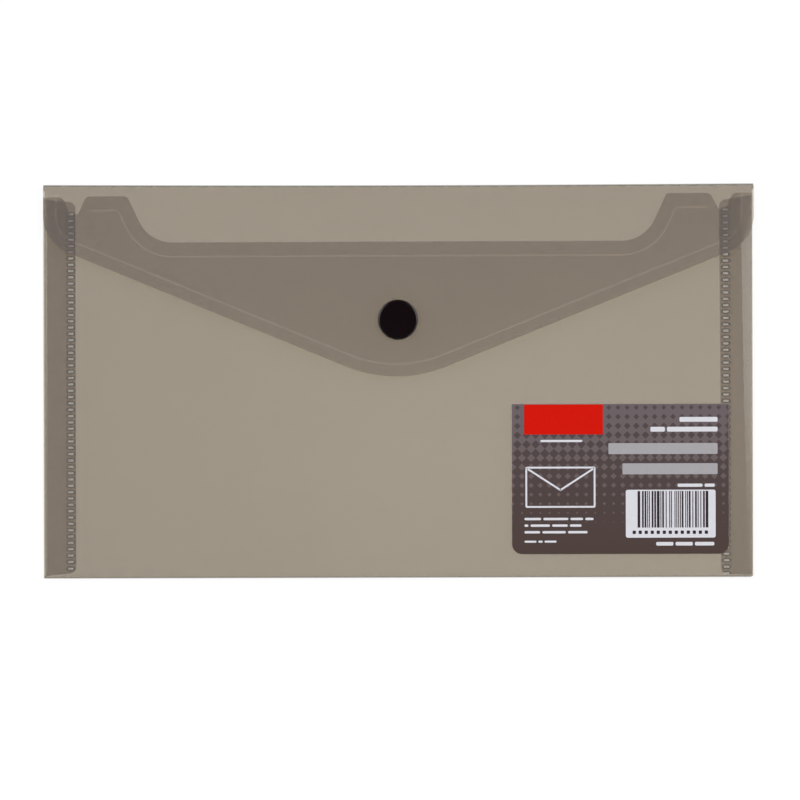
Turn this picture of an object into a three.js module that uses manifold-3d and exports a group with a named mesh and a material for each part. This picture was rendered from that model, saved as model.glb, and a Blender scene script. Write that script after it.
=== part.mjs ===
// A plastic button envelope for long folded letters, lying on its back with the flap buttoned down.
// Units are millimetres. +X runs along the width, +Y from the bottom fold to the top crease, +Z up
// through the button. The origin is under the middle of the envelope, on the surface it lies on.
// One die-cut polypropylene sheet makes the back, the pocket front, the two side strips and the flap,
// joined by rounded folds. A four-piece press snap closes it, and a paper label is stuck on the front.
import * as THREE from "three";
import { mergeVertices } from "three/addons/utils/BufferGeometryUtils.js";
import Module from "manifold-3d";

const wasm = await Module();
wasm.setup();

// Sheet and overall sizes
const film = 0.2; // thickness of the polypropylene sheet
const sheetWidth = 225.4; // flap and top crease, cut edge to cut edge
const pocketInset = 0.3; // of each side fold, from the flap's edge
const backInset = 0.1; // of each edge of the back panel, from the side fold
const envelopeHeight = 124.7; // outside, from the bottom fold to the top crease
const layerGap = 0.3; // least air between two sheets that are not welded
const seatGap = 0.05; // air left between pieces that rest on or grip each other
const foldGap = 0.3; // slit beside a fold, where the panels start to turn

// Flap, measured down from the top crease
const flapSideDrop = 18.4; // to where the slanted edge would meet the side
const flapPointDrop = 64.3; // to where the two slanted edges would meet
const flapCornerRadius = 13;
const flapTipRadius = 42;

// Upper edge of the pocket front, measured down from the top crease and in from the side fold
const shoulderDrop = 3.2; // ears and shoulders
const thumbCutDrop = 18.2; // long cut between the shoulders
const notchDrop = 8.9; // bottom of the notch between ear and shoulder
const earInset = 6.3;
const notchInset = 10.4;
const shoulderOuterInset = 13.6;
const shoulderInnerInset = 26.7;
const thumbCutInset = 33.6;
const earRadius = 2.5;
const notchRadius = 0.8;
const shoulderOuterRadius = 2.2;
const shoulderInnerRadius = 1.4;
const thumbCutRadius = 11.5;

// Side strips, turned in from the side folds and welded to the back panel
const stripWidth = 10.3; // from the side fold to the strip's free edge
const stripTopDrop = 1.7; // from the ear's edge to the strip's, at the side fold
const stripTopSlope = 0.9; // how much lower the strip's edge is at its inner corner
const stripBottomSlope = 1.1;
const stripCornerRadius = 2;
const weldInset = 8.7; // middle of the weld line, in from the side fold
const weldMarkLength = 1.7; // across the strip
const weldMarkWidth = 0.6; // along the strip
const weldMarkPitch = 2.02;
const weldMarkDepth = 0.1; // dent in the strip's upper face
const weldEndMargin = 3; // from each end of the strip to its first mark

// Lines scored beside the cut edges, which keep them from curling
const scoreWidth = 0.45;
const scoreDepth = 0.06;
const flapScoreInset = 3.86;
const frontScoreInset = 4.5;

// Press snap
const snapDrop = 42.97; // from the top crease to the middle of the button
const capRadius = 6.35;
const capHeight = 1.1;
const capDish = 0.2; // how far the cap's face lies below its rim
const capRim = 0.85; // width of the rounded rim
const rivetRadius = 0.7; // post of each cap
const rivetHeadRadius = 1.15;
const rivetHeadHeight = 0.25;
const rivetClearance = 0.2; // round the posts, in the sheets and in the snap's floors
const studRadius = 5.25;
const studFlange = 0.6;
const studPostRadius = 1.95;
const studPostHeight = 1.3; // above the flange
const studFloor = 0.4;
const socketRadius = 5.4;
const socketHeight = 1.9;
const socketRoof = 0.4;
const socketLip = 0.9; // wall of the inner ring that grips the stud
const socketWall = 0.8; // outer wall
const socketGroove = 1.2; // depth of the groove between ring and wall
const snapClearance = 0.2; // between stud and socket

// Label, measured in from the right side fold and up from the bottom fold
const labelWidth = 68.6;
const labelHeight = 47.5;
const labelThickness = 0.1;
const labelRight = 7.5;
const labelBottom = 7.4;
const labelBottomRadius = 3.3;
const labelTopRadius = 0.8;

const ringSegments = 48;
const arcSegments = 6; // per corner, each cut in two by the shape's own sampling
const foldSegments = 10; // round a half turn
const rampSegments = 14; // along the flap's rise
const past = 1; // how far a cutter runs past what it cuts

// Levels and places that follow from the sizes above
const backTop = film;
const stripLow = backTop + layerGap;
const stripTop = stripLow + film;
const innerCapLow = backTop + layerGap;
const frontLow = Math.max(innerCapLow + capHeight + seatGap, stripTop + layerGap);
const frontTop = frontLow + film;
const studLow = frontTop + seatGap;
const studFlangeTop = studLow + studFlange;
const socketLow = studFlangeTop + snapClearance;
const socketTop = socketLow + socketHeight;
const flapHighLow = socketTop + seatGap; // underside of the flap at the button
const flapCreaseLow = frontTop + layerGap; // underside of the flap at the crease
const buttonCapLow = flapHighLow + film + seatGap;

const flapEdge = sheetWidth / 2;
const pocketEdge = flapEdge - pocketInset;
const backEdge = pocketEdge - backInset;
const topY = envelopeHeight / 2;
const bottomY = -envelopeHeight / 2;
const creaseRadius = (flapCreaseLow + film) / 2; // outside of the top crease
const creaseY = topY - creaseRadius;
const bottomFoldRadius = frontTop / 2;
const bottomFoldY = bottomY + bottomFoldRadius;
const sideFoldRadius = (frontTop - stripLow) / 2;
const sideFoldZ = stripLow + sideFoldRadius;
const sideFoldX = pocketEdge - sideFoldRadius;
const shoulderY = topY - shoulderDrop;
const snapY = topY - snapDrop;
const holeRadius = rivetRadius + rivetClearance;

// A closed geometry as a manifold solid
function solidOf(geometry) {
  const bare = geometry.index ? geometry.toNonIndexed() : geometry.clone();
  bare.deleteAttribute("normal");
  bare.deleteAttribute("uv");
  const merged = mergeVertices(bare, 1e-4);
  const triVerts = new Uint32Array(merged.index.array);
  const vertProperties = new Float32Array(merged.attributes.position.array);
  return new wasm.Manifold(new wasm.Mesh({ numProp: 3, vertProperties, triVerts }));
}

function geometryOf(solid) {
  const mesh = solid.getMesh();
  const positions = new Float32Array(mesh.numVert * 3);
  for (let i = 0; i < mesh.numVert; i += 1) {
    for (let k = 0; k < 3; k += 1) {
      positions[3 * i + k] = mesh.vertProperties[mesh.numProp * i + k];
    }
  }
  const geometry = new THREE.BufferGeometry();
  geometry.setAttribute("position", new THREE.BufferAttribute(positions, 3));
  geometry.setIndex(new THREE.BufferAttribute(new Uint32Array(mesh.triVerts), 1));
  return geometry;
}

// A Shape through corners [x, y, radius], each rounded by an arc of its own radius
function roundedOutline(corners) {
  const shape = new THREE.Shape();
  corners.forEach(([x, y, radius], i) => {
    const corner = new THREE.Vector2(x, y);
    const before = new THREE.Vector2(...corners.at(i - 1)).sub(corner).normalize();
    const after = new THREE.Vector2(...corners[(i + 1) % corners.length]).sub(corner).normalize();
    const halfAngle = Math.acos(THREE.MathUtils.clamp(before.dot(after), -1, 1)) / 2;
    const start = corner.clone().addScaledVector(before, radius / Math.tan(halfAngle));
    if (i === 0) shape.moveTo(start.x, start.y);
    else shape.lineTo(start.x, start.y);
    if (radius === 0) return;
    const inward = before.clone().add(after).normalize();
    const centre = corner.clone().addScaledVector(inward, radius / Math.sin(halfAngle));
    const end = corner.clone().addScaledVector(after, radius / Math.tan(halfAngle));
    const from = start.clone().sub(centre).angle();
    const to = end.clone().sub(centre).angle();
    shape.absarc(centre.x, centre.y, radius, from, to, before.cross(after) > 0);
  });
  shape.closePath();
  return shape;
}

// The same corners with edge i, from corner i to the next, moved in by insets[i].
// Corners run counter-clockwise. A corner that bulges out gets tighter, one that bends in gets wider.
function insetCorners(corners, insets) {
  const count = corners.length;
  const edge = (i) => {
    const [ax, ay] = corners.at(i);
    const [bx, by] = corners[(i + 1 + count) % count];
    const along = new THREE.Vector2(bx - ax, by - ay).normalize();
    const shift = insets.at(i);
    return { x: ax - along.y * shift, y: ay + along.x * shift, along };
  };
  return corners.map(([, , radius], i) => {
    const a = edge(i - 1);
    const b = edge(i);
    const turn = a.along.cross(b.along);
    const t = ((b.x - a.x) * b.along.y - (b.y - a.y) * b.along.x) / turn;
    const moved = Math.max(insets.at(i - 1), insets.at(i), 0);
    const rounded = radius === 0 ? 0 : Math.max(radius - Math.sign(turn) * moved, 0.2);
    return [a.x + a.along.x * t, a.y + a.along.y * t, rounded];
  });
}

// An upright slab of a shape between two levels
function slab(shape, low, high) {
  const geometry = new THREE.ExtrudeGeometry(shape, {
    depth: high - low,
    bevelEnabled: false,
    curveSegments: arcSegments,
  });
  geometry.translate(0, 0, low);
  return solidOf(geometry);
}

// A section drawn in (y, z), run along X between two places
function alongX(section, fromX, toX) {
  const geometry = new THREE.ExtrudeGeometry(section, { depth: toX - fromX, bevelEnabled: false });
  const y = new THREE.Vector3(0, 1, 0);
  const z = new THREE.Vector3(0, 0, 1);
  const x = new THREE.Vector3(1, 0, 0);
  geometry.applyMatrix4(new THREE.Matrix4().makeBasis(y, z, x));
  geometry.translate(fromX, 0, 0);
  return solidOf(geometry);
}

// A section drawn in (x, z), run along Y between two places
function alongY(section, fromY, toY) {
  const geometry = new THREE.ExtrudeGeometry(section, { depth: toY - fromY, bevelEnabled: false });
  const x = new THREE.Vector3(1, 0, 0);
  const z = new THREE.Vector3(0, 0, 1);
  const y = new THREE.Vector3(0, -1, 0);
  geometry.applyMatrix4(new THREE.Matrix4().makeBasis(x, z, y));
  geometry.translate(0, toY, 0);
  return solidOf(geometry);
}

// The section of a half-round fold of the sheet, open towards -u, or towards +u when side is -1
function foldSection(centreU, centreV, outerRadius, side) {
  const points = [];
  for (const radius of [outerRadius, outerRadius - film]) {
    for (let i = 0; i <= foldSegments; i += 1) {
      const step = radius === outerRadius ? i : foldSegments - i;
      const angle = -Math.PI / 2 + (Math.PI * step) / foldSegments;
      const u = centreU + side * radius * Math.cos(angle);
      points.push(new THREE.Vector2(u, centreV + radius * Math.sin(angle)));
    }
  }
  return new THREE.Shape(points);
}

// A body of revolution about the snap's axis. profile holds [radius, level] pairs, in either sense.
function turned(profile) {
  const points = profile.map(([radius, level]) => new THREE.Vector2(radius, level));
  if (THREE.ShapeUtils.area(points) < 0) points.reverse();
  const geometry = new THREE.LatheGeometry(points, ringSegments);
  geometry.rotateX(Math.PI / 2);
  geometry.translate(0, snapY, 0);
  return solidOf(geometry);
}

function snapHole(low, high) {
  return turned([
    [0, low],
    [holeRadius, low],
    [holeRadius, high],
    [0, high],
  ]);
}

// Outline of the flap as flat corners, counter-clockwise from the crease's left end
function flapCorners() {
  const cornerY = topY - flapSideDrop;
  return [
    [-flapEdge, creaseY - seatGap, 0],
    [-flapEdge, cornerY, flapCornerRadius],
    [0, topY - flapPointDrop, flapTipRadius],
    [flapEdge, cornerY, flapCornerRadius],
    [flapEdge, creaseY - seatGap, 0],
  ];
}

// How high the flap's underside lies at a distance from the crease: it climbs from the crease to the button
const rampLength = creaseY - (snapY + capRadius + 2 * seatGap);
function flapLevel(y) {
  const t = THREE.MathUtils.clamp((creaseY - y) / rampLength, 0, 1);
  return flapCreaseLow + (flapHighLow - flapCreaseLow) * t * t * (3 - 2 * t);
}

// A layer that follows the flap's rise, from one height above its underside to another
function flapLayer(from, to) {
  const places = [creaseY + past];
  for (let i = 0; i <= rampSegments; i += 1) places.push(creaseY - (rampLength * i) / rampSegments);
  places.push(topY - flapPointDrop - past);
  const under = places.map((y) => new THREE.Vector2(y, flapLevel(y) + from));
  const over = places.map((y) => new THREE.Vector2(y, flapLevel(y) + to)).reverse();
  return alongX(new THREE.Shape([...under, ...over]), -flapEdge - past, flapEdge + past);
}

// The band between two insets of an outline. Edges that carry no score line keep to the outside.
function scoreBand(corners, carries, inset, low, high) {
  const insets = (depth) => carries.map((scored) => (scored ? depth : -past));
  const outline = (depth) => roundedOutline(insetCorners(corners, insets(depth)));
  const inner = slab(outline(inset + scoreWidth), low - past, high + past);
  return slab(outline(inset), low, high).subtract(inner);
}

function makeFlap() {
  const corners = flapCorners();
  const low = flapCreaseLow - past;
  const high = flapHighLow + film + past;
  const sheet = flapLayer(0, film).intersect(slab(roundedOutline(corners), low, high));
  const band = scoreBand(corners, [true, true, true, true, false], flapScoreInset, low, high);
  const groove = band.intersect(flapLayer(film - scoreDepth, film + past));
  return sheet.subtract(groove).subtract(snapHole(low, high));
}

// Right half of the front's upper edge, from the side fold inwards, mirrored for the left half
function frontCorners() {
  const edgeX = sideFoldX - foldGap;
  const fromFold = (inset) => pocketEdge - inset;
  const right = [
    [edgeX, shoulderY, 0],
    [fromFold(earInset), shoulderY, earRadius],
    [fromFold(notchInset), topY - notchDrop, notchRadius],
    [fromFold(shoulderOuterInset), shoulderY, shoulderOuterRadius],
    [fromFold(shoulderInnerInset), shoulderY, shoulderInnerRadius],
    [fromFold(thumbCutInset), topY - thumbCutDrop, thumbCutRadius],
  ];
  const left = right.map(([x, y, radius]) => [-x, y, radius]).reverse();
  return [[edgeX, bottomFoldY + foldGap, 0], ...right, ...left, [-edgeX, bottomFoldY + foldGap, 0]];
}

function makeFrontPanel() {
  const corners = frontCorners();
  const low = frontLow - past;
  const high = frontTop + past;
  const sheet = slab(roundedOutline(corners), frontLow, frontTop);
  // Score lines run along the shoulders, the slopes beside them and the long cut
  const isScored = (i) => i >= 4 && i <= corners.length - 6;
  const band = scoreBand(corners, corners.map((_, i) => isScored(i)), frontScoreInset, low, high);
  const groove = band.intersect(slab(roundedOutline(corners), frontTop - scoreDepth, high));
  return sheet.subtract(groove).subtract(snapHole(low, high));
}

function makeBackPanel() {
  const shape = roundedOutline([
    [-backEdge, bottomFoldY + seatGap, 0],
    [backEdge, bottomFoldY + seatGap, 0],
    [backEdge, creaseY - seatGap, 0],
    [-backEdge, creaseY - seatGap, 0],
  ]);
  return slab(shape, 0, film);
}

function makeTopCrease() {
  return alongX(foldSection(creaseY, creaseRadius, creaseRadius, 1), -flapEdge, flapEdge);
}

function makeBottomFold() {
  const section = foldSection(bottomFoldY, bottomFoldRadius, bottomFoldRadius, -1);
  return alongX(section, -pocketEdge, pocketEdge);
}

function makeSideFold(side) {
  const section = foldSection(side * sideFoldX, sideFoldZ, sideFoldRadius, side);
  return alongY(section, bottomFoldY + foldGap, shoulderY);
}

// Centres of the weld marks along a strip, evenly spaced about the strip's middle
function weldMarks() {
  const low = bottomFoldY + foldGap + weldEndMargin;
  const high = shoulderY - stripTopDrop - stripTopSlope - weldEndMargin;
  const steps = Math.floor((high - low) / weldMarkPitch);
  const first = (low + high - steps * weldMarkPitch) / 2;
  return Array.from({ length: steps + 1 }, (_, i) => first + i * weldMarkPitch);
}

function makeSideStrip(side) {
  const outer = sideFoldX - seatGap;
  const inner = pocketEdge - stripWidth;
  const foot = bottomFoldY + foldGap;
  const corners = [
    [inner, foot + stripBottomSlope, stripCornerRadius],
    [outer, foot, 0],
    [outer, shoulderY - stripTopDrop, 0],
    [inner, shoulderY - stripTopDrop - stripTopSlope, stripCornerRadius],
  ];
  const strip = slab(roundedOutline(corners), stripLow, stripTop);
  // Each mark presses the strip down onto the back panel
  const bar = (y, low, high) => {
    const box = new THREE.BoxGeometry(weldMarkLength, weldMarkWidth, high - low);
    box.translate(pocketEdge - weldInset, y, (low + high) / 2);
    return solidOf(box);
  };
  const feet = weldMarks().map((y) => bar(y, backTop + seatGap, stripTop - weldMarkDepth));
  const dents = weldMarks().map((y) => bar(y, stripTop - weldMarkDepth, stripTop + past));
  const right = wasm.Manifold.union([strip.subtract(wasm.Manifold.union(dents)), ...feet]);
  return side > 0 ? right : right.mirror([1, 0, 0]);
}

// A snap cap with its rivet post. sign is 1 for a cap that faces up and -1 for one that faces down.
// seat is the level of its rim's foot, and headLevel that of the riveted head's face on the snap's floor.
function makeCap(seat, sign, headLevel) {
  const top = seat + sign * capHeight;
  const face = top - sign * capDish;
  const headEnd = headLevel - sign * rivetHeadHeight;
  const rim = [];
  const rimSteps = 8;
  for (let i = 0; i <= rimSteps; i += 1) {
    const angle = (Math.PI * i) / rimSteps - Math.PI / 2;
    const radius = capRadius - capRim / 2 + (capRim / 2) * Math.cos(angle);
    rim.push([radius, (seat + top) / 2 + sign * (capHeight / 2) * Math.sin(angle)]);
  }
  return turned([
    [0, headEnd],
    [rivetHeadRadius, headEnd],
    [rivetHeadRadius, headLevel],
    [rivetRadius, headLevel],
    [rivetRadius, seat],
    ...rim,
    [capRadius - capRim, face],
    [0, face],
  ]);
}

function makeStud() {
  const top = studFlangeTop + studPostHeight;
  const floorTop = studLow + studFloor;
  const bore = rivetHeadRadius + rivetClearance;
  const edge = studFlange / 4;
  const headBulge = studPostRadius / 10;
  return turned([
    [holeRadius, studLow],
    [studRadius - edge, studLow],
    [studRadius, studLow + edge],
    [studRadius, studFlangeTop - edge],
    [studRadius - edge, studFlangeTop],
    [studPostRadius - headBulge, studFlangeTop],
    [studPostRadius - headBulge, studFlangeTop + studPostHeight / 3],
    [studPostRadius, studFlangeTop + (studPostHeight * 2) / 3],
    [studPostRadius - headBulge, top],
    [bore, top],
    [bore, floorTop],
    [holeRadius, floorTop],
    [holeRadius, studLow],
  ]);
}

function makeSocket() {
  const mouth = studPostRadius + snapClearance;
  const chamber = mouth + snapClearance / 2;
  const lipOuter = mouth + socketLip;
  const wallInner = socketRadius - socketWall;
  const roof = socketTop - socketRoof;
  const edge = socketWall / 4;
  return turned([
    [holeRadius, roof],
    [chamber, roof],
    [chamber, socketLow + socketHeight / 3],
    [mouth, socketLow + socketHeight / 5],
    [mouth, socketLow],
    [lipOuter, socketLow],
    [lipOuter, socketLow + socketGroove],
    [wallInner, socketLow + socketGroove],
    [wallInner, socketLow],
    [socketRadius - edge, socketLow],
    [socketRadius, socketLow + edge],
    [socketRadius, socketTop - edge],
    [socketRadius - edge, socketTop],
    [holeRadius, socketTop],
    [holeRadius, roof],
  ]);
}

function makeLabel() {
  const right = pocketEdge - labelRight;
  const low = bottomY + labelBottom;
  const shape = roundedOutline([
    [right - labelWidth, low, labelBottomRadius],
    [right, low, labelBottomRadius],
    [right, low + labelHeight, labelTopRadius],
    [right - labelWidth, low + labelHeight, labelTopRadius],
  ]);
  return slab(shape, frontTop + seatGap, frontTop + seatGap + labelThickness);
}

const smokeFilm = new THREE.MeshStandardMaterial({
  color: 0x8f877c,
  roughness: 0.35,
  metalness: 0,
  transparent: true,
  opacity: 0.5,
});
const blackSnap = new THREE.MeshStandardMaterial({ color: 0x141012, roughness: 0.3, metalness: 0 });
const darkLabel = new THREE.MeshStandardMaterial({ color: 0x4b4043, roughness: 0.45, metalness: 0 });

const envelope = new THREE.Group();

function addPiece(name, solid, material) {
  const mesh = new THREE.Mesh(geometryOf(solid), material);
  mesh.name = name;
  envelope.add(mesh);
}

const buttonHeadLevel = socketTop - socketRoof - seatGap;
const studHeadLevel = studLow + studFloor + seatGap;

addPiece("back_panel", makeBackPanel(), smokeFilm);
addPiece("top_crease", makeTopCrease(), smokeFilm);
addPiece("flap", makeFlap(), smokeFilm);
addPiece("bottom_fold", makeBottomFold(), smokeFilm);
addPiece("front_panel", makeFrontPanel(), smokeFilm);
addPiece("left_side_fold", makeSideFold(-1), smokeFilm);
addPiece("right_side_fold", makeSideFold(1), smokeFilm);
addPiece("left_side_strip", makeSideStrip(-1), smokeFilm);
addPiece("right_side_strip", makeSideStrip(1), smokeFilm);
addPiece("button_cap", makeCap(buttonCapLow, 1, buttonHeadLevel), blackSnap);
addPiece("button_socket", makeSocket(), blackSnap);
addPiece("button_stud", makeStud(), blackSnap);
addPiece("stud_cap", makeCap(frontLow - seatGap, -1, studHeadLevel), blackSnap);
addPiece("label", makeLabel(), darkLabel);

export default envelope;
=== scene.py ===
import bpy
import math
import random
import numpy as np
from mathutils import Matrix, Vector, geometry


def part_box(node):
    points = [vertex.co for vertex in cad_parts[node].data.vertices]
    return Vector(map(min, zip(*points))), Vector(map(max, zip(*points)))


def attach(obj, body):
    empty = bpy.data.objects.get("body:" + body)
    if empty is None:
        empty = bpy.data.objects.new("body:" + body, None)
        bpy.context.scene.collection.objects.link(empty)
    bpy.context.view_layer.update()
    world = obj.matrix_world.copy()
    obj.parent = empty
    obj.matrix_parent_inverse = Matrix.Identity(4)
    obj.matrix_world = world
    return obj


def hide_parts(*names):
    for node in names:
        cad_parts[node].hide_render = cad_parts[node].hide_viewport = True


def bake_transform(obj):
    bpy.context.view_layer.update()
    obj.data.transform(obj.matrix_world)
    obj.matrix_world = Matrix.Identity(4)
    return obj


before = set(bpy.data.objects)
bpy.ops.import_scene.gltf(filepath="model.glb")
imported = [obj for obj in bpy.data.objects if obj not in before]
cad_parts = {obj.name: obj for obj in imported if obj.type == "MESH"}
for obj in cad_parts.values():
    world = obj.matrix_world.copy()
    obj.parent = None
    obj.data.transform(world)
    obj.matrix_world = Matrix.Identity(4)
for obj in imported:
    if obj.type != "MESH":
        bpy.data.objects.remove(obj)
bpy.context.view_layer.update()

# A smoke-grey plastic envelope with a press snap, lying closed on a white table.
# Shapes are worked out in millimetres and written to the meshes in metres.
mm = 0.001


def nodeSpan(node):
    low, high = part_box(node)
    return np.array(low) / mm, np.array(high) / mm


backLow, backHigh = nodeSpan("back_panel")
creaseHigh = nodeSpan("top_crease")[1]
foldLow, foldHigh = nodeSpan("bottom_fold")
frontLow, frontHigh = nodeSpan("front_panel")
flapHigh = nodeSpan("flap")[1]
capLow, capHigh = nodeSpan("button_cap")
socketLow, socketHigh = nodeSpan("button_socket")
studLow, studHigh = nodeSpan("button_stud")
backCapLow = nodeSpan("stud_cap")[0]
labelLow, labelHigh = nodeSpan("label")

film = backHigh[2] - backLow[2]
topY, bottomY = creaseHigh[1], foldLow[1]
flapEdge, pocketEdge = creaseHigh[0], foldHigh[0]
creaseRadius = creaseHigh[2] / 2
creaseY = topY - creaseRadius
bottomRadius = foldHigh[2] / 2
bottomFoldY = bottomY + bottomRadius
snapX, snapY = (capLow[0] + capHigh[0]) / 2, (capLow[1] + capHigh[1]) / 2
frontMid = (frontLow[2] + frontHigh[2]) / 2  # middle of the front's film
print("frame read:", len(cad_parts), "nodes, envelope", round(2 * pocketEdge, 1), "mm wide")


def addObject(name, data):
    thing = bpy.data.objects.new(name, data)
    bpy.context.collection.objects.link(thing)
    return thing


# Helpers for materials

def emptyTree(owner):
    owner.use_nodes = True
    owner.node_tree.nodes.clear()
    return owner.node_tree


def newMaterial(name):
    material = bpy.data.materials.new(name)
    return material, emptyTree(material)


# A node whose sockets are set to a value, or fed by the output given in its place
def addNode(tree, kind, sockets=None, operation=None, data=None):
    node = tree.nodes.new("ShaderNode" + kind)
    if operation:
        node.operation = operation
    if data:
        node.data_type = data
    for key, value in (sockets or {}).items():
        socket = node.inputs[key]
        if isinstance(value, bpy.types.NodeSocket):
            tree.links.new(value, socket)
        else:
            socket.default_value = (*value, 1) if socket.type == "RGBA" else value
    return node


def mathNode(tree, operation, *values):
    return addNode(tree, "Math", dict(enumerate(values)), operation).outputs[0]


# A value taken from one range to another, and eased at both ends where smooth is true
def mapRange(tree, value, source, target, smooth=False):
    ends = zip(("From Min", "From Max", "To Min", "To Max"), (*source, *target))
    node = addNode(tree, "MapRange", {"Value": value, **dict(ends)})
    if smooth:
        node.interpolation_type = "SMOOTHSTEP"
    return node.outputs["Result"]


def objectPlace(tree):
    return addNode(tree, "TexCoord").outputs["Object"]


def noiseTexture(tree, scale, detail, stretch=(1, 1, 1)):
    sized = addNode(tree, "Mapping", {"Vector": objectPlace(tree), "Scale": stretch}).outputs[0]
    return addNode(tree, "TexNoise", {"Vector": sized, "Scale": scale, "Detail": detail}).outputs["Fac"]


# Fine relief for a shader, height in millimetres
def grain(tree, scale, detail, strength, height):
    rough = noiseTexture(tree, scale, detail)
    return addNode(tree, "Bump", {"Height": rough, "Strength": strength, "Distance": height * mm}).outputs[0]


def mixedColour(tree, factor, first, second, blend="MIX"):
    mix = addNode(tree, "Mix", {"Factor": factor, "A": first, "B": second}, data="RGBA")
    mix.blend_type = blend
    return mix.outputs["Result"]


def mixedShader(tree, factor, first, second):
    return addNode(tree, "MixShader", {0: factor, 1: first, 2: second}).outputs[0]


def finishMaterial(tree, shader):
    addNode(tree, "OutputMaterial", {"Surface": shader})


# Camera and light

view = {
    "millimetresPerPixel": 0.3171,  # on the table
    "imageWidth": 800,  # pixels
    "centreX": 398.15,  # pixel that shows the middle of the envelope
    "centreY": 381.0,
    "lens": 200,
    "sensor": 36,
    "roll": 0.14,  # degrees
    "clip": (0.05, 40),  # metres
}

studio = {
    "softboxDistance": 3.0,
    "softboxWidth": 2.0,
    "softboxTilt": 42,  # degrees off the vertical
    "softboxReach": (0.0, 2.2),  # its two ends, the far one beyond the top edge of the envelope
    "softboxRadiance": 2.7,
    "skirtReach": (-0.6, 0.0),  # dimmer part, towards the bottom edge
    "skirtRadiance": 0.35,
    "zenith": 0.07,  # light from straight above, where the camera is
    "sideWalls": 1.0,
    "endWalls": 0.28,
    "wallFade": (0.3, 0.7),  # from the end walls to the side walls, as the sideways share of a direction
    "ceilingFade": (0.62, 0.93),  # from the walls to the dim ceiling, as the upward share
    "floorSize": 20,
    "floorDrop": 0.06,  # millimetres below the envelope
    "floorGlow": 0.86,
    "floorWhite": 0.18,
}


def makeCamera():
    data = bpy.data.cameras.new("camera")
    data.lens, data.sensor_width = view["lens"], view["sensor"]
    data.clip_start, data.clip_end = view["clip"]
    half = view["imageWidth"] / 2
    pixel = view["millimetresPerPixel"] * mm
    camera = addObject("camera", data)
    height = view["imageWidth"] * pixel * data.lens / data.sensor_width
    camera.location = ((half - view["centreX"]) * pixel, (view["centreY"] - half) * pixel, height)
    camera.rotation_euler = (0, 0, math.radians(-view["roll"]))
    bpy.context.scene.camera = camera


def makeSoftbox(name, side, ends, radiance):
    data = bpy.data.lights.new(name, "AREA")
    data.shape = "RECTANGLE"
    data.size = studio["softboxWidth"]
    data.size_y = ends[1] - ends[0]
    data.energy = radiance * math.pi * data.size * data.size_y
    lamp = addObject(name, data)
    tilt = math.radians(studio["softboxTilt"])
    reach = studio["softboxDistance"]
    lamp.location = (side * reach * math.sin(tilt), sum(ends) / 2, reach * math.cos(tilt))
    lamp.rotation_euler = (0, side * tilt, 0)


def makeWorld():
    world = bpy.data.worlds.new("studio")
    bpy.context.scene.world = world
    tree = emptyTree(world)
    place = addNode(tree, "TexCoord").outputs["Generated"]
    split = addNode(tree, "SeparateXYZ", {0: place}).outputs
    sideways = mathNode(tree, "ABSOLUTE", split["X"])
    # pale to the left and right, dim at the ends and overhead
    sideLevels = (studio["endWalls"], studio["sideWalls"])
    walls = mapRange(tree, sideways, studio["wallFade"], sideLevels, True)
    level = mapRange(tree, split["Z"], studio["ceilingFade"], (walls, studio["zenith"]), True)
    shade = addNode(tree, "Background", {"Color": (1, 1, 1), "Strength": level}).outputs[0]
    addNode(tree, "OutputWorld", {"Surface": shade})


def makeFloor():
    size, drop = studio["floorSize"], -studio["floorDrop"] * mm
    mesh = bpy.data.meshes.new("floor")
    corners = [(-size, -size, drop), (size, -size, drop), (size, size, drop), (-size, size, drop)]
    mesh.from_pydata(corners, [], [(0, 1, 2, 3)])
    material, tree = newMaterial("white table")
    paths = addNode(tree, "LightPath").outputs
    seen = paths["Is Camera Ray"]
    for kind in ("Is Glossy Ray", "Is Transmission Ray"):
        seen = mathNode(tree, "MAXIMUM", seen, paths[kind])
    glow = mathNode(tree, "MULTIPLY", seen, studio["floorGlow"])
    emission = addNode(tree, "Emission", {"Strength": glow}).outputs[0]
    matt = addNode(tree, "BsdfDiffuse", {"Color": (studio["floorWhite"],) * 3}).outputs[0]
    finishMaterial(tree, addNode(tree, "AddShader", {0: emission, 1: matt}).outputs[0])
    mesh.materials.append(material)
    addObject("floor", mesh)


makeCamera()
for sideName, side in (("left", -1), ("right", 1)):
    makeSoftbox("softbox " + sideName, side, studio["softboxReach"], studio["softboxRadiance"])
    makeSoftbox("skirt " + sideName, side, studio["skirtReach"], studio["skirtRadiance"])
makeWorld()
makeFloor()
bpy.context.scene.view_settings.view_transform = "Standard"
bpy.context.scene.cycles.transparent_max_bounces = 32  # four films are eight surfaces
print("camera, table and lights ready")


# Finishes

filmFinish = {
    "tint": (0.834, 0.802, 0.740),  # let through by each surface of the film
    "plain": (1, 1, 1),  # special places, as shares of the tint
    # painted shade: film at the folds and beside the flap's cut ends is made darker than its own tint
    "crease": (0.85, 0.865, 0.875),
    # partly real, as the scored film is thinner, and partly a painted highlight of the groove
    "score": (1.115, 1.13, 1.18),
    "faintScoreAndHighlight": (1.085, 1.10, 1.135),
    # partly real, as fused film is clearer, and partly a painted glint
    "weldMarkAndGlint": (1.15, 1.2, 1.29),
    "weldRim": (0.63, 0.585, 0.51),
    "drift": 0.01,  # the tint wanders by this much across the sheet
    "driftScale": 14,
    "driftStretch": (1, 0.35, 1),
    "paintedLightCentre": (46.2, -17),  # painted light: the tint is palest here
    "paintedLightReach": (165, 85),
    "paintedLightEnd": 1.25,  # of that reach
    "paintedEdgeShade": 0.03,  # painted shade: how much darker the tint is far from the middle
    "haze": 0.075,  # share of the surface that scatters light
    "hazeColour": (0.52, 0.53, 0.67),
    "hazeRoughness": 0.6,
    "roughness": 0.12,
    "grain": (1400, 3, 0.05, 0.02),  # orange peel: scale, detail, strength, height
    "headOn": 0.025,  # mirrored at right angles
    "grazing": 0.85,  # mirrored at the flattest view
    "creaseGrazing": 0.12,
}


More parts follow.
